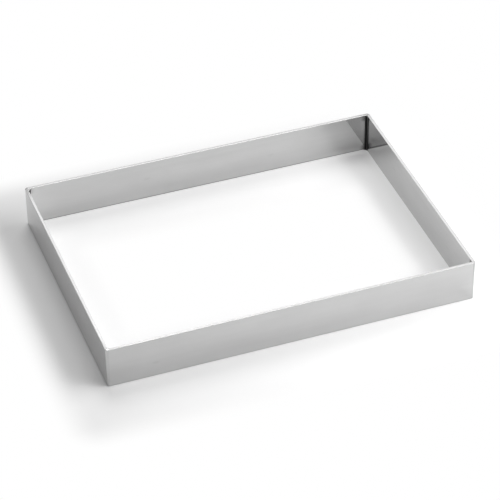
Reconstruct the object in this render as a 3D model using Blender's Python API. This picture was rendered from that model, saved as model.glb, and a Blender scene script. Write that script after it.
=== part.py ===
"""Rectangular cake frame, open at the top and bottom.

Four flat bars of stainless steel stand on edge. At each corner the bars meet inner edge to inner
edge, and a weld fills the square groove between their ends. It is dressed flush and round outside.
A narrow bead seals the corner inside, and swells where it starts and stops.

Units are metres. +X runs along the long walls, +Y from the front to the back and +Z up.
The origin is in the middle of the frame, on the surface that it stands on.
"""
import math

import bmesh
import bpy
from mathutils import Vector

MM = 0.001

# Outside sizes of the frame
FRAME_LENGTH = 385 * MM
FRAME_WIDTH = 280 * MM
WALL_HEIGHT = 45 * MM

# Flat bar
BAR_THICKNESS = 3 * MM
RIM_RADIUS = 0.5 * MM
RIM_LIMIT_SHARE = 0.45

# Space between a weld and the steel that it joins
WELD_GAP = 0.3 * MM

# Inside seal bead
BEAD_LEG = 2.2 * MM
BEAD_END_LEG = 3.4 * MM
BEAD_SWELL_LENGTH = 9 * MM
BEAD_SETBACK = 0.2 * MM
BEAD_HOLLOW_SHARE = 0.12

# Grey and roughness of each finish
BAR_FINISH = (0.62, 0.18)
WELD_FINISH = (0.6, 0.22)
BEAD_FINISH = (0.1, 0.45)

# Faces that meet at more than this angle keep a crisp edge
CRISP_ANGLE = math.radians(30)

# Facets of the round stretches
RIM_STEPS = 5
CORNER_STEPS = 12
BEAD_FACE_STEPS = 6
BEAD_SWELL_STEPS = 6

# Corners closer than this share of the rim's radius are one
MERGE_SHARE = 0.001

# Turns that carry a front left corner, or the front wall, to its other places
QUARTER_TURN = math.pi / 2

# Worked out from the sizes above
RIM_EDGE = min(RIM_RADIUS, RIM_LIMIT_SHARE * BAR_THICKNESS)
HALF_LENGTH = FRAME_LENGTH / 2
HALF_WIDTH = FRAME_WIDTH / 2
BAR_END_SETBACK = BAR_THICKNESS + WELD_GAP


def clear_scene():
    for old in list(bpy.data.objects):
        bpy.data.objects.remove(old, do_unlink=True)


def steel(name, finish):
    """Bare stainless steel of one grey and one roughness."""
    grey, roughness = finish
    material = bpy.data.materials.new(name)
    material.use_nodes = True
    shader = material.node_tree.nodes["Principled BSDF"]
    shader.inputs["Base Color"].default_value = (grey, grey, grey, 1)
    shader.inputs["Metallic"].default_value = 1
    shader.inputs["Roughness"].default_value = roughness
    material.diffuse_color = (grey, grey, grey, 1)
    return material


def add_piece(name, shape, material, frame, place, turn):
    """Makes one named piece from a bmesh, at a place in the frame and turned about +Z."""
    bmesh.ops.recalc_face_normals(shape, faces=shape.faces)
    mesh = bpy.data.meshes.new(name)
    shape.to_mesh(mesh)
    shape.free()
    mesh.shade_smooth()
    mesh.set_sharp_from_angle(angle=CRISP_ANGLE)
    mesh.materials.append(material)
    piece = bpy.data.objects.new(name, mesh)
    bpy.context.scene.collection.objects.link(piece)
    piece.location = place
    piece.rotation_euler = (0, 0, turn)
    piece.parent = frame
    return piece


def rounded_edge(centre_across, centre_up, start):
    """Quarter arc of the rim's radius, from a start angle, as points across the wall and up it."""
    points = []
    for step in range(RIM_STEPS + 1):
        angle = start + QUARTER_TURN * step / RIM_STEPS
        across = centre_across + RIM_EDGE * math.cos(angle)
        up = centre_up + RIM_EDGE * math.sin(angle)
        points.append((across, up))
    return points


def wall_section(round_inside):
    """Section of the wall: 0 across is its outer face, and the bar's thickness its inner face."""
    low = RIM_EDGE
    high = WALL_HEIGHT - RIM_EDGE
    near = RIM_EDGE
    far = BAR_THICKNESS - RIM_EDGE
    points = rounded_edge(near, low, math.pi)
    if round_inside:
        points += rounded_edge(far, low, -QUARTER_TURN)
        points += rounded_edge(far, high, 0)
    else:
        points += [(BAR_THICKNESS, 0), (BAR_THICKNESS, WALL_HEIGHT)]
    points += rounded_edge(near, high, QUARTER_TURN)
    return points


def flat_bar(outside_length):
    """A bar along X, centred, with its outer face on Y = 0 and its body towards +Y."""
    length = outside_length - 2 * BAR_END_SETBACK
    shape = bmesh.new()
    corners = [shape.verts.new((-length / 2, across, up)) for across, up in wall_section(True)]
    end = shape.faces.new(corners)
    grown = bmesh.ops.extrude_face_region(shape, geom=[end], use_keep_orig=True)
    moved = [item for item in grown["geom"] if isinstance(item, bmesh.types.BMVert)]
    bmesh.ops.translate(shape, verts=moved, vec=(length, 0, 0))
    return shape


def corner_weld():
    """The wall's section turned a quarter about the corner's inner edge, from -X round to -Y."""
    shape = bmesh.new()
    section = wall_section(False)
    verts = [shape.verts.new((across - BAR_THICKNESS, 0, up)) for across, up in section]
    start = shape.faces.new(verts)
    bmesh.ops.spin(
        shape,
        geom=[start] + list(start.edges) + list(start.verts),
        cent=(0, 0, 0),
        axis=(0, 0, 1),
        angle=QUARTER_TURN,
        steps=CORNER_STEPS,
        use_merge=False,
        use_duplicate=False,
    )
    bmesh.ops.remove_doubles(shape, verts=shape.verts, dist=RIM_EDGE * MERGE_SHARE)
    return shape


def bead_leg(height):
    """Leg of the bead at a height: it swells towards both ends."""
    from_end = min(height - BEAD_SETBACK, WALL_HEIGHT - BEAD_SETBACK - height)
    swelling = max(0, 1 - from_end / BEAD_SWELL_LENGTH)
    return BEAD_LEG + (BEAD_END_LEG - BEAD_LEG) * swelling ** 2


def bead_heights():
    """Heights of the bead's rings: close together where it swells."""
    half_run = WALL_HEIGHT / 2 - BEAD_SETBACK
    swell = min(BEAD_SWELL_LENGTH, half_run)
    lower = [BEAD_SETBACK + swell * step / BEAD_SWELL_STEPS for step in range(BEAD_SWELL_STEPS + 1)]
    upper = [WALL_HEIGHT - height for height in reversed(lower)]
    if swell < half_run:
        return lower + upper
    return lower + upper[1:]


def bead_ring(height):
    """Section of the bead: its root in the corner, its two toes and the hollow face between."""
    leg = bead_leg(height)
    root = Vector((WELD_GAP, WELD_GAP, height))
    toe_x = root + Vector((leg, 0, 0))
    toe_y = root + Vector((0, leg, 0))
    to_root = Vector((-1, -1, 0)).normalized()
    points = [root]
    for step in range(BEAD_FACE_STEPS + 1):
        share = step / BEAD_FACE_STEPS
        hollow = BEAD_HOLLOW_SHARE * leg * 4 * share * (1 - share)
        points.append(toe_x.lerp(toe_y, share) + to_root * hollow)
    return points


def seal_bead():
    """Lofted bead in a corner whose walls run along +X and +Y from the origin."""
    shape = bmesh.new()
    rings = [[shape.verts.new(point) for point in bead_ring(height)] for height in bead_heights()]
    for below, above in zip(rings, rings[1:]):
        for index, vert in enumerate(below):
            following = (index + 1) % len(below)
            shape.faces.new((vert, below[following], above[following], above[index]))
    shape.faces.new(list(reversed(rings[0])))
    shape.faces.new(rings[-1])
    return shape


def add_bars(frame):
    """Four walls, each made as the front one and turned into its place."""
    walls = (
        ("long_bar_front", FRAME_LENGTH, (0, -HALF_WIDTH, 0), 0),
        ("short_bar_right", FRAME_WIDTH, (HALF_LENGTH, 0, 0), QUARTER_TURN),
        ("long_bar_back", FRAME_LENGTH, (0, HALF_WIDTH, 0), 2 * QUARTER_TURN),
        ("short_bar_left", FRAME_WIDTH, (-HALF_LENGTH, 0, 0), 3 * QUARTER_TURN),
    )
    for name, outside_length, place, turn in walls:
        add_piece(name, flat_bar(outside_length), steel(name, BAR_FINISH), frame, place, turn)


def add_corners(frame):
    """A weld and a bead at each corner, about the upright line where the inner faces meet."""
    corner_x = HALF_LENGTH - BAR_THICKNESS
    corner_y = HALF_WIDTH - BAR_THICKNESS
    corners = (
        ("front_left", (-corner_x, -corner_y, 0)),
        ("front_right", (corner_x, -corner_y, 0)),
        ("back_right", (corner_x, corner_y, 0)),
        ("back_left", (-corner_x, corner_y, 0)),
    )
    for quarters, (corner, place) in enumerate(corners):
        turn = quarters * QUARTER_TURN
        weld = "corner_weld_" + corner
        bead = "seal_bead_" + corner
        add_piece(weld, corner_weld(), steel(weld, WELD_FINISH), frame, place, turn)
        add_piece(bead, seal_bead(), steel(bead, BEAD_FINISH), frame, place, turn)


def main():
    clear_scene()
    frame = bpy.data.objects.new("cake_frame", None)
    bpy.context.scene.collection.objects.link(frame)
    add_bars(frame)
    add_corners(frame)


main()
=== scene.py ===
"""Looks of the rectangular cake frame: polished steel bars, dressed corner welds, dark seal beads.

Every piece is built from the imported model's own boxes, in metres, and stands for one node of it.
The studio has a pale floor, a softbox on the right, one behind and above, a lamp overhead at the
front right and a weak room light. The floor is plain beside the walls, which mirror it, and turns
white further away, as the photograph's background is.
"""
import math
from collections import namedtuple

import bmesh
import bpy
from mathutils import Matrix, Vector


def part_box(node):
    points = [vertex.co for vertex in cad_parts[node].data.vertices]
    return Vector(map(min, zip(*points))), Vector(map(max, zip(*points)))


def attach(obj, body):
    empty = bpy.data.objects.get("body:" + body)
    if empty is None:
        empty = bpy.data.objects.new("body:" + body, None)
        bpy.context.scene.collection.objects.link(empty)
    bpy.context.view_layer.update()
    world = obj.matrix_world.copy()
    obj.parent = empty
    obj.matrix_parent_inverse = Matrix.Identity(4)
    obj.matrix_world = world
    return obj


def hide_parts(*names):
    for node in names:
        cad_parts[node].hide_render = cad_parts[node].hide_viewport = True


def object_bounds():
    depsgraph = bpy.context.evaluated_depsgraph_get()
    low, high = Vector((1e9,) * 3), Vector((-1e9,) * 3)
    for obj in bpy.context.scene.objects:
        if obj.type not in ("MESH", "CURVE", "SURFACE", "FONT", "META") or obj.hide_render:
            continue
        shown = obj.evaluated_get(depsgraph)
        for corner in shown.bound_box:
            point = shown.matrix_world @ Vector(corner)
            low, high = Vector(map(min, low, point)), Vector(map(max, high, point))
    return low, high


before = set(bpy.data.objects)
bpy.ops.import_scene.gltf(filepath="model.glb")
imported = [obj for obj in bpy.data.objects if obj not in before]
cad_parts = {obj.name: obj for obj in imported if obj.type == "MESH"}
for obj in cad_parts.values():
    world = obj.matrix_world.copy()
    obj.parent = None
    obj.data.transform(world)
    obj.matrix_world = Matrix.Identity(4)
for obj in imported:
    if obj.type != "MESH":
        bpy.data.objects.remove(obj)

CAD_LOW, CAD_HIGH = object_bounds()
MM = 0.001
QUARTER_TURN = math.pi / 2

# Sizes read from the frame
LENGTH = CAD_HIGH.x - CAD_LOW.x
WIDTH = CAD_HIGH.y - CAD_LOW.y
HEIGHT = CAD_HIGH.z - CAD_LOW.z
FRONT_LOW, FRONT_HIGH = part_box("long_bar_front")
THICKNESS = FRONT_HIGH.y - FRONT_LOW.y
BEAD_LOW, BEAD_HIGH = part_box("seal_bead_front_left")
BEAD_GAP = BEAD_LOW.x - (CAD_LOW.x + THICKNESS)
BEAD_END_LEG = BEAD_HIGH.x - BEAD_LOW.x

# Round of the steel's edges, and slices along a bar that keep its faces from being slivers
RIM_RADIUS = 0.5 * MM
BAR_SLICES = 24

# Seal bead
BEAD_LEG = 2.2 * MM
BEAD_SWELL_LENGTH = 9 * MM
BEAD_HOLLOW_SHARE = 0.12
BEAD_RIPPLE_PITCH = 1.3 * MM
BEAD_RIPPLE_DEPTH = 0.12 * MM

# How far a bead grows towards the walls, to close the gap that its node leaves there
BEAD_FILL = 0.25 * MM

# Facets of the round stretches
RIM_STEPS = 10
CORNER_STEPS = 28
BEAD_FACE_STEPS = 12
BEAD_RINGS_PER_RIPPLE = 6

# Faces that meet at more than this angle keep a crisp edge
CRISP_ANGLE = math.radians(35)

# Limits that noise mostly stays between
NOISE_LOW = 0.3
NOISE_HIGH = 0.7

# Polish of the steel: grain and streaks, in cells a metre along each axis, and roughness
Polish = namedtuple("Polish", "grain streaks smooth rough")
BAR_POLISH = Polish(grain=(60, 5000, 5000), streaks=(6, 150, 150), smooth=0.05, rough=0.08)
WELD_POLISH = Polish(grain=(300, 300, 5000), streaks=(60, 60, 200), smooth=0.07, rough=0.11)
GRAIN_DETAIL = 2
GRAIN_BUMP_STRENGTH = 0.02
GRAIN_BUMP_HEIGHT = 0.02 * MM
STREAK_DETAIL = 2
STREAK_DEPTH = 0.015
CLOUD_SCALE = (18, 40, 40)
CLOUD_DETAIL = 3
CLOUD_DEPTH = 0.014

# Small marks left by handling, one at most in a cell of the spacing: the random values of a cell
# that bring one, and the mark's reach in cells
SMUDGE_SPACING = Vector((34, 14, 14)) * MM
SMUDGE_CHOICE = (0.5, 0.8)
SMUDGE_REACH = (0.04, 0.2)
SMUDGE_GREY = 0.93

# How far the steel faces up, from -1 to 1, where it turns to rounded edge, flat rim and underside
EDGE_TILT = (0.05, 0.3)
RIM_TILT = (0.9975, 0.9995)
FOOT_TILT = (-0.3, -0.05)
EDGE_ROUGHNESS = 0.35
RIM_ROUGHNESS = 0.12
# How far from a bar's ends the painted shade on its rim reaches
RIM_END_REACH = 25 * MM

# Painted shade along the foot: grey of the underside and its rounded edges, and the darker strip above
# them
FOOT_SHADE_GREY_OUTSIDE = 0.22
FOOT_SHADE_GREY_INSIDE = 0.6
FOOT_SHADE = 0.85
FOOT_SHADE_HEIGHT = 2.2 * MM

# Greys of a bar or weld, set piece by piece, which hold painted light and shade besides the steel's own
# grey: the rims' greys, a painted shade on outer edges that dims their highlights and a painted highlight
# on most inner edges. For a bar also the shares of its darkening beside the beads and of its rim's grey at
# its two ends, which is a painted shade, its own -X end first
GreysAndPaintedLight = namedtuple("GreysAndPaintedLight", "face rim outer_edge inner_edge marks rim_ends", defaults=(None, None, None))
FRONT_BAR = GreysAndPaintedLight(0.556, 0.75, 0.38, 0.75, marks=(1, 0.5), rim_ends=(0.8, 1))
RIGHT_BAR = GreysAndPaintedLight(0.565, 0.8, 0.4, 0.6, marks=(0.7, 1), rim_ends=(0.95, 0.8))
BACK_BAR = GreysAndPaintedLight(0.552, 0.68, 0.22, 0.5, marks=(1, 0.3), rim_ends=(0.75, 0.9))
LEFT_BAR = GreysAndPaintedLight(0.532, 0.79, 0.38, 0.75, marks=(0.3, 1), rim_ends=(0.6, 0.8))
FRONT_LEFT_WELD = GreysAndPaintedLight(0.525, 0.5, 0.2)
FRONT_RIGHT_WELD = GreysAndPaintedLight(0.525, 0.68, 0.38)
BACK_RIGHT_WELD = GreysAndPaintedLight(0.52, 0.48, 0.22)
BACK_LEFT_WELD = GreysAndPaintedLight(0.52, 0.42, 0.22)

# Darkening inside the bars, along the beads: its reach and depth beside the middle of a bead and
# beside its ends, and how far from the top and the foot the ends' darkening starts and is full
MARK_REACH = 5 * MM
MARK_DEPTH = 0.4
MARK_END_REACH = 8.5 * MM
MARK_END_DEPTH = 0.95
MARK_END_START = 9 * MM
MARK_END_FULL = 5 * MM

# Greys of a bead, along its toes and on its two ends, set corner by corner as painted light and shade
BeadGreysAndPaintedLight = namedtuple("BeadGreysAndPaintedLight", "toes ends")
FRONT_LEFT_BEAD = BeadGreysAndPaintedLight(0.12, 0.5)
FRONT_RIGHT_BEAD = BeadGreysAndPaintedLight(0.12, 0.15)
BACK_RIGHT_BEAD = BeadGreysAndPaintedLight(0.12, 0.12)
BACK_LEFT_BEAD = BeadGreysAndPaintedLight(0.25, 0.45)

# Look of every bead: its grey along the middle, the tint out from there, its ends and patches
BEAD_MIDDLE_GREY = 0.008
BEAD_TINT_REACH = (0.3 * BEAD_LEG, 1.2 * BEAD_LEG)
BEAD_END_TILT = (0.3, 0.9)
BEAD_PATCH_SCALE = (900, 900, 500)
BEAD_PATCH_DETAIL = 4
BEAD_PATCH_SHARES = (0.6, 1.4)
BEAD_ROUGHNESS = (0.3, 0.5)
BEAD_BUMP_STRENGTH = 0.3
BEAD_BUMP_HEIGHT = 0.1 * MM

# Camera, in degrees and metres
CAMERA_AZIMUTH = -19.839
CAMERA_ELEVATION = 37.763
CAMERA_ROLL = 0.546
CAMERA_DISTANCE = 2.449
CAMERA_TARGET = Vector((-0.0004, -0.0140, HEIGHT / 2))
CAMERA_LENS_MM = 173.71
CAMERA_REACH = 100
SENSOR_MM = 36

# Floor, in metres
FLOOR_SIZE = 12
FLOOR_COLOUR = (0.96, 0.96, 0.96, 1)

# Share of white in the floor beside the walls, a painted light that is greater inside the frame than
# outside
FLOOR_GLOW_OUTSIDE = 0.09
FLOOR_GLOW_INSIDE = 0.22

# Share in the inner corners, lowered there as a painted shade, and how far from the frame's outer corner
# it starts and ends growing
FLOOR_GLOW_CORNER = 0.1
FLOOR_CORNER_REACH = (0.02, 0.08)

# Share added along the inner foot of the walls as a painted light, and how far from the foot it reaches
FLOOR_GLOW_FOOT = 0.16
FLOOR_FOOT_REACH = Vector((0.008, 0.012, 0))

# Strips of floor that stay plain, measured outwards and inwards from the walls' outer faces, and
# how far the fade to white then goes
FLOOR_PLAIN_OUTSIDE = Vector((0.022, 0.045, 0))
FLOOR_PLAIN_INSIDE = Vector((0.018, 0.034, 0))
FLOOR_FADE_OUTSIDE = 0.04
FLOOR_FADE_INSIDE = Vector((0.035, 0.04, 0))

# Painted contact shadow along the inner foot of the long walls: how far from it the line fades, and its
# depth
PAINTED_SHADOW_REACH = (0.6 * MM, 1.6 * MM)
PAINTED_SHADOW_DEPTH = 0.8

# Softboxes aimed at the frame: azimuth from +X towards +Y and elevation in degrees, size in metres
Softbox = namedtuple("Softbox", "azimuth elevation width height radiance")
RIGHT_SOFTBOX = Softbox(-15, 40.5, 1.4, 0.95, 5.0)
BACK_SOFTBOX = Softbox(77, 62, 0.8, 0.9, 5.1)
SOFTBOX_DISTANCE = 1.8

# Overhead fill, which shines straight down
FILL_PLACE = Vector((0.42, -0.62, 0.62))
FILL_SIZE = (0.45, 0.55)
FILL_RADIANCE = 4.6

# Mean radiance of the room, where 1 is white
ROOM_STRENGTH = 0.125


def add_object(name, shape, material, node, place, turn):
    """One finished piece made from a bmesh, which stands for a node of the frame."""
    bmesh.ops.recalc_face_normals(shape, faces=shape.faces)
    mesh = bpy.data.meshes.new(name)
    shape.to_mesh(mesh)
    shape.free()
    mesh.shade_smooth()
    mesh.set_sharp_from_angle(angle=CRISP_ANGLE)
    mesh.materials.append(material)
    piece = bpy.data.objects.new(name, mesh)
    bpy.context.scene.collection.objects.link(piece)
    flat_faces = piece.modifiers.new("flat_faces_stay_flat", "WEIGHTED_NORMAL")
    flat_faces.keep_sharp = True
    piece.matrix_world = Matrix.Translation(place) @ Matrix.Rotation(turn, 4, "Z")
    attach(piece, "root")
    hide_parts(node)


def rounded_edge(centre_across, centre_up, start):
    """Quarter arc of the rim's radius, from a start angle, as points across the wall and up it."""
    points = []
    for step in range(RIM_STEPS + 1):
        angle = start + QUARTER_TURN * step / RIM_STEPS
        across = centre_across + RIM_RADIUS * math.cos(angle)
        up = centre_up + RIM_RADIUS * math.sin(angle)
        points.append((across, up))
    return points


def outer_edges():
    """The wall's two outer edges, at its foot and at its top: 0 across is its outer face."""
    foot = rounded_edge(RIM_RADIUS, RIM_RADIUS, math.pi)
    top = rounded_edge(RIM_RADIUS, HEIGHT - RIM_RADIUS, QUARTER_TURN)
    return foot, top


def inner_edges():
    """The wall's two inner edges, at its foot and at its top: the thickness is its inner face."""
    inside = THICKNESS - RIM_RADIUS
    foot = rounded_edge(inside, RIM_RADIUS, -QUARTER_TURN)
    top = rounded_edge(inside, HEIGHT - RIM_RADIUS, 0)
    return foot, top


def join_rings(shape, rings):
    """Skins a row of rings, which may share corners, and closes both ends."""
    for first, second in zip(rings, rings[1:]):
        for index, vert in enumerate(first):
            following = (index + 1) % len(first)
            corners = dict.fromkeys((vert, first[following], second[following], second[index]))
            if len(corners) > 2:
                shape.faces.new(list(corners))
    shape.faces.new(rings[0])
    shape.faces.new(rings[-1])


def bar_shape(outside_length):
    """A bar along X between the two corner welds, outer face on Y = 0 and body towards +Y."""
    length = outside_length - 2 * THICKNESS
    shape = bmesh.new()
    outer_foot, outer_top = outer_edges()
    inner_foot, inner_top = inner_edges()
    section = outer_foot + inner_foot + inner_top + outer_top
    rings = []
    for slice_index in range(BAR_SLICES + 1):
        along = length * (slice_index / BAR_SLICES - 0.5)
        rings.append([shape.verts.new((along, across, up)) for across, up in section])
    join_rings(shape, rings)
    return shape


def corner_shape():
    """The wall's section turned a quarter about the corner's inner edge, from -X round to -Y."""
    shape = bmesh.new()
    pivot = [shape.verts.new((0, 0, 0)), shape.verts.new((0, 0, HEIGHT))]
    rings = []
    for step in range(CORNER_STEPS + 1):
        turn = Matrix.Rotation(QUARTER_TURN * step / CORNER_STEPS, 3, "Z")
        arcs = []
        for edge in outer_edges():
            places = [turn @ Vector((across - THICKNESS, 0, up)) for across, up in edge]
            arcs.append([shape.verts.new(place) for place in places])
        foot, top = arcs
        rings.append(foot + pivot + top)
    join_rings(shape, rings)
    return shape


def bead_leg(height, bottom, top):
    """Leg of the bead at a height: swollen at both ends, with a ripple for each drop of metal."""
    from_end = min(height - bottom, top - height)
    swelling = max(0, 1 - from_end / BEAD_SWELL_LENGTH)
    leg = BEAD_LEG + (BEAD_END_LEG - BEAD_LEG) * swelling ** 2
    phase = (height - bottom) / BEAD_RIPPLE_PITCH % 1
    return leg - BEAD_RIPPLE_DEPTH * (2 * phase - 1) ** 2


def bead_shape():
    """Rippled bead in a corner whose walls run along +X and +Y from the origin."""
    bottom = BEAD_LOW.z
    top = BEAD_HIGH.z
    rings = []
    shape = bmesh.new()
    ring_steps = round((top - bottom) / BEAD_RIPPLE_PITCH * BEAD_RINGS_PER_RIPPLE)
    root_place = BEAD_GAP - BEAD_FILL
    to_root = Vector((-1, -1, 0)).normalized()
    for ring_index in range(ring_steps + 1):
        height = bottom + (top - bottom) * ring_index / ring_steps
        leg = bead_leg(height, bottom, top) + BEAD_FILL
        root = Vector((root_place, root_place, height))
        toe_x = root + Vector((leg, 0, 0))
        toe_y = root + Vector((0, leg, 0))
        ring = [shape.verts.new(root)]
        for step in range(BEAD_FACE_STEPS + 1):
            share = step / BEAD_FACE_STEPS
            hollow = BEAD_HOLLOW_SHARE * leg * 4 * share * (1 - share)
            ring.append(shape.verts.new(toe_x.lerp(toe_y, share) + to_root * hollow))
        rings.append(ring)
    join_rings(shape, rings)
    return shape


def new_material(name):
    """A material and its node tree, which holds a Principled shader."""
    material = bpy.data.materials.new(name)
    material.use_nodes = True
    return material, material.node_tree


def set_input(tree, entry, value):
    """Sets a node's input to a number, or links it to the output that carries the value."""
    if isinstance(value, (int, float)):
        entry.default_value = value
    else:
        tree.links.new(value, entry)


def calculated(tree, operation, *values):
    """One step of arithmetic on numbers or outputs."""
    step = tree.nodes.new("ShaderNodeMath")
    step.operation = operation
    for entry, value in zip(step.inputs, values):
        set_input(tree, entry, value)
    return step.outputs["Value"]


def product(tree, first, *others):
    """Numbers or outputs multiplied together."""
    for other in others:
        first = calculated(tree, "MULTIPLY", first, other)
    return first


def mixed(tree, share, low, high):
    """Mixes two numbers or outputs, from low at a share of 0 to high at 1."""
    mix = tree.nodes.new("ShaderNodeMix")
    for name, value in (("Factor", share), ("A", low), ("B", high)):
        set_input(tree, mix.inputs[name], value)
    return mix.outputs["Result"]


def spread(tree, value, start, end, low, high):
    """Turns a value smoothly from low at the start to high at the end."""
    step = tree.nodes.new("ShaderNodeMapRange")
    step.interpolation_type = "SMOOTHSTEP"
    set_input(tree, step.inputs["Value"], value)
    for name, limit in (("From Min", start), ("From Max", end), ("To Min", low), ("To Max", high)):
        set_input(tree, step.inputs[name], limit)
    return step.outputs["Result"]


def coordinate(tree, kind, axis):
    """One axis of a texture coordinate, such as Object, the place in the piece's own axes."""
    coordinates = tree.nodes.new("ShaderNodeTexCoord")
    parts = tree.nodes.new("ShaderNodeSeparateXYZ")
    tree.links.new(coordinates.outputs[kind], parts.inputs["Vector"])
    return parts.outputs[axis]


def scaled_place(tree, scale):
    """The place in the piece's own axes, in cells a metre along each axis."""
    coordinates = tree.nodes.new("ShaderNodeTexCoord")
    mapping = tree.nodes.new("ShaderNodeMapping")
    mapping.inputs["Scale"].default_value = scale
    tree.links.new(coordinates.outputs["Object"], mapping.inputs["Vector"])
    return mapping.outputs["Vector"]


def stretched_noise(tree, scale, detail):
    """Noise with its own number of cells a metre along each axis."""
    noise = tree.nodes.new("ShaderNodeTexNoise")
    noise.inputs["Scale"].default_value = 1
    noise.inputs["Detail"].default_value = detail
    tree.links.new(scaled_place(tree, scale), noise.inputs["Vector"])
    return noise.outputs["Fac"]


def noise_between(tree, noise, low, high):
    """Stretches a noise over a range."""
    step = tree.nodes.new("ShaderNodeMapRange")
    limits = (("From Min", NOISE_LOW), ("From Max", NOISE_HIGH), ("To Min", low), ("To Max", high))
    for name, limit in limits:
        step.inputs[name].default_value = limit
    tree.links.new(noise, step.inputs["Value"])
    return step.outputs["Result"]


def set_metal(tree, grey, roughness, relief, bump_strength, bump_height):
    """Makes the material bare metal of that grey and roughness, with a bump from the relief."""
    colour = tree.nodes.new("ShaderNodeCombineColor")
    for channel in ("Red", "Green", "Blue"):
        tree.links.new(grey, colour.inputs[channel])
    bump = tree.nodes.new("ShaderNodeBump")
    bump.inputs["Strength"].default_value = bump_strength
    bump.inputs["Distance"].default_value = bump_height
    tree.links.new(relief, bump.inputs["Height"])
    shader = tree.nodes["Principled BSDF"]
    shader.inputs["Metallic"].default_value = 1
    tree.links.new(colour.outputs["Color"], shader.inputs["Base Color"])
    tree.links.new(roughness, shader.inputs["Roughness"])
    tree.links.new(bump.outputs["Normal"], shader.inputs["Normal"])


def foot_painted_shade(tree):
    """What is left of the steel's brightness low on a wall, under a painted shade along its foot."""
    return spread(tree, coordinate(tree, "Object", "Z"), 0, FOOT_SHADE_HEIGHT, FOOT_SHADE, 1)


def handling_marks(tree):
    """What is left of the steel's brightness in a few small marks left by handling."""
    cells = tree.nodes.new("ShaderNodeTexVoronoi")
    cells.inputs["Scale"].default_value = 1
    place = scaled_place(tree, [1 / spacing for spacing in SMUDGE_SPACING])
    tree.links.new(place, cells.inputs["Vector"])
    random_values = tree.nodes.new("ShaderNodeSeparateColor")
    tree.links.new(cells.outputs["Color"], random_values.inputs["Color"])
    chosen = spread(tree, random_values.outputs["Red"], *SMUDGE_CHOICE, 0, 1)
    fades = spread(tree, cells.outputs["Distance"], *SMUDGE_REACH, 1, 0)
    return spread(tree, product(tree, chosen, fades), 0, 1, 1, SMUDGE_GREY)


def inner_half(tree):
    """1 on the inner half of a bar's thickness, and 0 on its outer half."""
    return calculated(tree, "GREATER_THAN", coordinate(tree, "Object", "Y"), THICKNESS / 2)


def beside_bead_darkening(tree, half_length, shares):
    """What is left of the brightness inside a bar beside its beads, by the marks' share at each end."""
    along = coordinate(tree, "Object", "X")
    from_end = calculated(tree, "SUBTRACT", half_length, calculated(tree, "ABSOLUTE", along))
    up = calculated(tree, "SUBTRACT", coordinate(tree, "Object", "Z"), HEIGHT / 2)
    off_centre = calculated(tree, "ABSOLUTE", up)
    start = HEIGHT / 2 - MARK_END_START
    full = HEIGHT / 2 - MARK_END_FULL
    by_bead_end = spread(tree, off_centre, start, full, 0, 1)
    reach = mixed(tree, by_bead_end, MARK_REACH, MARK_END_REACH)
    depth = mixed(tree, by_bead_end, MARK_DEPTH, MARK_END_DEPTH)
    mark = spread(tree, from_end, 0, reach, depth, 0)
    share = spread(tree, along, -half_length, half_length, *shares)
    return calculated(tree, "SUBTRACT", 1, product(tree, mark, share, inner_half(tree)))


def rim_end_shade(tree, half_length, shares):
    """Share of a rim's grey that is left by a painted shade: less beside the welds, at the bar's two ends.
    """
    along = coordinate(tree, "Object", "X")
    first, last = shares
    inner_end = half_length - RIM_END_REACH
    at_first = spread(tree, along, -half_length, -inner_end, first, 1)
    at_last = spread(tree, along, inner_end, half_length, 1, last)
    return product(tree, at_first, at_last)


def face_grey(tree, polish, greys_and_light, clouds):
    """Grey of a wall's faces: clouds and streaks, a painted shade at the foot and a few marks."""
    bands = stretched_noise(tree, polish.streaks, STREAK_DETAIL)
    grey = noise_between(tree, clouds, greys_and_light.face - CLOUD_DEPTH, greys_and_light.face + CLOUD_DEPTH)
    streak = noise_between(tree, bands, 1 - STREAK_DEPTH, 1 + STREAK_DEPTH)
    return product(tree, grey, streak, foot_painted_shade(tree), handling_marks(tree))


def polished_steel(name, polish, greys_and_light, half_length=None):
    """Polished stainless steel, whose edges, rims and underside take greys of painted light and shade. A
    bar gives its half length, for its darkening beside the beads and the painted shade at its rim's ends.
    """
    material, tree = new_material(name)
    up = coordinate(tree, "Normal", "Z")
    edge = spread(tree, calculated(tree, "ABSOLUTE", up), *EDGE_TILT, 0, 1)
    rim = spread(tree, up, *RIM_TILT, 0, 1)
    foot = spread(tree, up, *FOOT_TILT, 1, 0)
    clouds = stretched_noise(tree, CLOUD_SCALE, CLOUD_DETAIL)
    grey = face_grey(tree, polish, greys_and_light, clouds)
    edge_grey = greys_and_light.outer_edge
    rim_grey = greys_and_light.rim
    foot_shade_grey = FOOT_SHADE_GREY_OUTSIDE
    if half_length:
        inside = inner_half(tree)
        grey = product(tree, grey, beside_bead_darkening(tree, half_length, greys_and_light.marks))
        edge_grey = mixed(tree, inside, greys_and_light.outer_edge, greys_and_light.inner_edge)
        rim_grey = product(tree, rim_end_shade(tree, half_length, greys_and_light.rim_ends), greys_and_light.rim)
        foot_shade_grey = mixed(tree, inside, FOOT_SHADE_GREY_OUTSIDE, FOOT_SHADE_GREY_INSIDE)
    # Edges, rims and underside take their own greys, which are painted light and shade
    grey = mixed(tree, edge, grey, edge_grey)
    grey = mixed(tree, rim, grey, rim_grey)
    grey = mixed(tree, foot, grey, foot_shade_grey)
    roughness = noise_between(tree, clouds, polish.rough, polish.smooth)
    roughness = mixed(tree, edge, roughness, EDGE_ROUGHNESS)
    roughness = mixed(tree, rim, roughness, RIM_ROUGHNESS)
    grain = stretched_noise(tree, polish.grain, GRAIN_DETAIL)
    set_metal(tree, grey, roughness, grain, GRAIN_BUMP_STRENGTH, GRAIN_BUMP_HEIGHT)
    return material


def bar_steel(name, outside_length, greys_and_light):
    """Polish of a bar of one length, with its grain lengthwise."""
    return polished_steel(name, BAR_POLISH, greys_and_light, outside_length / 2 - THICKNESS)


def weld_steel(name, greys_and_light):
    """Polish of a dressed weld, with its grain across the corner."""
    return polished_steel(name, WELD_POLISH, greys_and_light)


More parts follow.
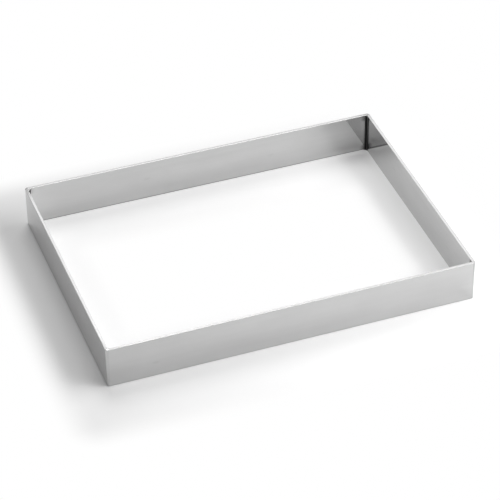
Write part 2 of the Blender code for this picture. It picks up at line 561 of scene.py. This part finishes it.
def bead_steel(name, greys_and_light):
    """Weld metal left as it was run: dark along its middle and lighter towards its toes, with toe and end
    greys per corner that are painted light and shade.
    """
    material, tree = new_material(name)
    x = coordinate(tree, "Object", "X")
    y = coordinate(tree, "Object", "Y")
    off_middle = calculated(tree, "ABSOLUTE", calculated(tree, "SUBTRACT", x, y))
    tint = spread(tree, off_middle, *BEAD_TINT_REACH, BEAD_MIDDLE_GREY, greys_and_light.toes)
    patches = stretched_noise(tree, BEAD_PATCH_SCALE, BEAD_PATCH_DETAIL)
    grey = product(tree, tint, noise_between(tree, patches, *BEAD_PATCH_SHARES))
    tilt = calculated(tree, "ABSOLUTE", coordinate(tree, "Normal", "Z"))
    end = spread(tree, tilt, *BEAD_END_TILT, 0, 1)
    # Its ends take a grey of their own, a painted light and shade set per corner
    grey = mixed(tree, end, grey, greys_and_light.ends)
    roughness = noise_between(tree, patches, *BEAD_ROUGHNESS)
    set_metal(tree, grey, roughness, patches, BEAD_BUMP_STRENGTH, BEAD_BUMP_HEIGHT)
    return material


def add_bars():
    """Four walls, each made as the front one and turned into its place."""
    walls = (
        ("long_bar_front", LENGTH, FRONT_BAR, (0, CAD_LOW.y, 0)),
        ("short_bar_right", WIDTH, RIGHT_BAR, (CAD_HIGH.x, 0, 0)),
        ("long_bar_back", LENGTH, BACK_BAR, (0, CAD_HIGH.y, 0)),
        ("short_bar_left", WIDTH, LEFT_BAR, (CAD_LOW.x, 0, 0)),
    )
    for quarters, (node, length, greys_and_light, place) in enumerate(walls):
        turn = quarters * QUARTER_TURN
        material = bar_steel(node + "_polish", length, greys_and_light)
        add_object("polished_" + node, bar_shape(length), material, node, place, turn)


def add_corners():
    """A dressed weld and a bead at each corner, about the line where the inner faces meet."""
    x = CAD_HIGH.x - THICKNESS
    y = CAD_HIGH.y - THICKNESS
    corners = (
        ("front_left", (-x, -y, 0), FRONT_LEFT_WELD, FRONT_LEFT_BEAD),
        ("front_right", (x, -y, 0), FRONT_RIGHT_WELD, FRONT_RIGHT_BEAD),
        ("back_right", (x, y, 0), BACK_RIGHT_WELD, BACK_RIGHT_BEAD),
        ("back_left", (-x, y, 0), BACK_LEFT_WELD, BACK_LEFT_BEAD),
    )
    for quarters, (corner, place, weld_greys_and_light, bead_greys_and_light) in enumerate(corners):
        turn = quarters * QUARTER_TURN
        weld = "corner_weld_" + corner
        bead = "seal_bead_" + corner
        weld_material = weld_steel(weld + "_polish", weld_greys_and_light)
        add_object("dressed_" + weld, corner_shape(), weld_material, weld, place, turn)
        bead_material = bead_steel(bead + "_steel", bead_greys_and_light)
        add_object("rippled_" + bead, bead_shape(), bead_material, bead, place, turn)


def seen_directly(tree):
    """1 for what the camera sees, also in metal or through glass, and 0 for light that falls."""
    path = tree.nodes.new("ShaderNodeLightPath")
    seen = path.outputs["Is Camera Ray"]
    for kind in ("Is Glossy Ray", "Is Transmission Ray"):
        seen = calculated(tree, "MAXIMUM", seen, path.outputs[kind])
    return seen


def floor_distances(tree):
    """Distances from the middle of the floor along X and along Y."""
    return [calculated(tree, "ABSOLUTE", coordinate(tree, "Object", axis)) for axis in ("X", "Y")]


def within_walls(tree, x, y):
    """1 on the floor inside the frame, and 0 outside."""
    within_x = calculated(tree, "LESS_THAN", x, CAD_HIGH.x - THICKNESS / 2)
    within_y = calculated(tree, "LESS_THAN", y, CAD_HIGH.y - THICKNESS / 2)
    return product(tree, within_x, within_y)


def length_of(tree, x, y):
    """Length of the vector with these two parts."""
    squares = [product(tree, part, part) for part in (x, y)]
    return calculated(tree, "SQRT", calculated(tree, "ADD", *squares))


def away_from_walls(tree, x, y):
    """0 on the floor beside the walls, on either side of them, and 1 further away."""
    outer = CAD_HIGH + FLOOR_PLAIN_OUTSIDE
    inner = CAD_HIGH - FLOOR_PLAIN_INSIDE
    beyond_x = calculated(tree, "MAXIMUM", calculated(tree, "SUBTRACT", x, outer.x), 0)
    beyond_y = calculated(tree, "MAXIMUM", calculated(tree, "SUBTRACT", y, outer.y), 0)
    beyond = length_of(tree, beyond_x, beyond_y)
    outside = spread(tree, beyond, 0, FLOOR_FADE_OUTSIDE, 0, 1)
    start = inner - FLOOR_FADE_INSIDE
    inside_x = spread(tree, x, start.x, inner.x, 1, 0)
    inside_y = spread(tree, y, start.y, inner.y, 1, 0)
    return calculated(tree, "MAXIMUM", outside, product(tree, inside_x, inside_y))


def glow_inside(tree, x, y):
    """Share of white in the floor inside the frame, painted light and shade: less in the corners, more
    along the foot.
    """
    from_corner_x = calculated(tree, "SUBTRACT", x, CAD_HIGH.x)
    from_corner_y = calculated(tree, "SUBTRACT", y, CAD_HIGH.y)
    from_corner = length_of(tree, from_corner_x, from_corner_y)
    glow = spread(tree, from_corner, *FLOOR_CORNER_REACH, FLOOR_GLOW_CORNER, FLOOR_GLOW_INSIDE)
    foot = CAD_HIGH - Vector((THICKNESS, THICKNESS, 0))
    start = foot - FLOOR_FOOT_REACH
    foot_x = spread(tree, x, start.x, foot.x, 0, FLOOR_GLOW_FOOT)
    foot_y = spread(tree, y, start.y, foot.y, 0, FLOOR_GLOW_FOOT)
    return calculated(tree, "ADD", glow, calculated(tree, "MAXIMUM", foot_x, foot_y))


def floor_glow(tree):
    """Share of white in the floor: small beside the walls, which mirror it, and 1 further away."""
    x, y = floor_distances(tree)
    within = within_walls(tree, x, y)
    beside = mixed(tree, within, FLOOR_GLOW_OUTSIDE, glow_inside(tree, x, y))
    return mixed(tree, away_from_walls(tree, x, y), beside, 1)


def painted_contact_shadow(tree):
    """1 on the floor along the inner foot of the long walls, where a contact shadow is painted, and 0
    elsewhere.
    """
    x, y = floor_distances(tree)
    start, end = PAINTED_SHADOW_REACH
    foot = CAD_HIGH.y - THICKNESS
    line = spread(tree, y, foot - end, foot - start, 0, 1)
    return product(tree, line, within_walls(tree, x, y))


def plain_light(tree, strength):
    """A surface that shows one level, where 0 is black and 1 is white."""
    emission = tree.nodes.new("ShaderNodeEmission")
    emission.inputs["Strength"].default_value = strength
    return emission.outputs["Emission"]


def mixed_shaders(tree, share, first, second):
    """Mixes two shaders, from the first at a share of 0 to the second at 1."""
    mix = tree.nodes.new("ShaderNodeMixShader")
    for entry, output in zip(mix.inputs, (share, first, second)):
        tree.links.new(output, entry)
    return mix.outputs["Shader"]


def floor_surface(tree):
    """Matt floor that turns white, with a painted contact shadow that only mirrored rays see."""
    shader = tree.nodes["Principled BSDF"]
    shader.inputs["Base Color"].default_value = FLOOR_COLOUR
    shader.inputs["Roughness"].default_value = 1
    shader.inputs["Specular IOR Level"].default_value = 0
    white = product(tree, floor_glow(tree), seen_directly(tree))
    floor = mixed_shaders(tree, white, shader.outputs["BSDF"], plain_light(tree, 1))
    path = tree.nodes.new("ShaderNodeLightPath")
    # A contact shadow is painted along the inner foot of the long walls, and only mirrored rays see it
    painted_shadow = product(tree, painted_contact_shadow(tree), path.outputs["Is Glossy Ray"], PAINTED_SHADOW_DEPTH)
    return mixed_shaders(tree, painted_shadow, floor, plain_light(tree, 0))


def add_floor():
    """Pale floor, which keeps the frame's shadow and fades to white away from it."""
    bpy.ops.mesh.primitive_plane_add(size=FLOOR_SIZE, location=(0, 0, 0))
    floor = bpy.context.object
    floor.name = "studio_floor"
    material, tree = new_material("studio_floor")
    tree.links.new(floor_surface(tree), tree.nodes["Material Output"].inputs["Surface"])
    floor.data.materials.append(material)


def add_room():
    """Weak room light, from none in front to most behind. The camera and the metal see white."""
    world = bpy.data.worlds.new("studio_room")
    world.use_nodes = True
    bpy.context.scene.world = world
    tree = world.node_tree
    background = tree.nodes["Background"]
    background.inputs["Color"].default_value = (1, 1, 1, 1)
    behind = coordinate(tree, "Generated", "Y")
    strength = calculated(tree, "MULTIPLY_ADD", behind, ROOM_STRENGTH, ROOM_STRENGTH)
    shown = mixed(tree, seen_directly(tree), strength, 1)
    tree.links.new(shown, background.inputs["Strength"])


def add_lamp(name, place, aim, size, radiance):
    """A rectangular lamp that faces along aim and shows a given radiance, where 1 is white."""
    lamp = bpy.data.lights.new(name, "AREA")
    lamp.shape = "RECTANGLE"
    lamp.size, lamp.size_y = size
    lamp.energy = radiance * math.pi * lamp.size * lamp.size_y
    holder = bpy.data.objects.new(name, lamp)
    bpy.context.scene.collection.objects.link(holder)
    holder.location = place
    holder.rotation_mode = "QUATERNION"
    holder.rotation_quaternion = aim.to_track_quat("-Z", "Y")


def add_softbox(name, softbox):
    """A softbox on a stand, aimed at the frame."""
    azimuth = math.radians(softbox.azimuth)
    elevation = math.radians(softbox.elevation)
    level = math.cos(elevation)
    direction = Vector((level * math.cos(azimuth), level * math.sin(azimuth), math.sin(elevation)))
    place = direction * SOFTBOX_DISTANCE
    add_lamp(name, place, -direction, (softbox.width, softbox.height), softbox.radiance)


def add_camera():
    """The photograph's viewpoint: a long lens, looking down on the near left corner."""
    azimuth = math.radians(CAMERA_AZIMUTH)
    elevation = math.radians(CAMERA_ELEVATION)
    roll = math.radians(CAMERA_ROLL)
    level = math.cos(elevation)
    forward = Vector((-math.sin(azimuth) * level, math.cos(azimuth) * level, -math.sin(elevation)))
    right = forward.cross(Vector((0, 0, 1))).normalized()
    down = forward.cross(right)
    image_right = math.cos(roll) * right + math.sin(roll) * down
    image_down = math.cos(roll) * down - math.sin(roll) * right
    camera = bpy.data.objects.new("camera", bpy.data.cameras.new("camera"))
    camera.data.sensor_width = SENSOR_MM
    camera.data.lens = CAMERA_LENS_MM
    camera.data.clip_end = CAMERA_REACH
    turn = Matrix((image_right, -image_down, -forward)).transposed().to_4x4()
    place = CAMERA_TARGET - forward * CAMERA_DISTANCE
    camera.matrix_world = Matrix.Translation(place) @ turn
    bpy.context.scene.collection.objects.link(camera)
    bpy.context.scene.camera = camera


add_bars()
add_corners()
add_floor()
add_room()
add_softbox("right_softbox", RIGHT_SOFTBOX)
add_softbox("back_softbox", BACK_SOFTBOX)
add_lamp("overhead_fill", FILL_PLACE, Vector((0, 0, -1)), FILL_SIZE, FILL_RADIANCE)
add_camera()
bpy.context.scene.view_settings.view_transform = "Standard"
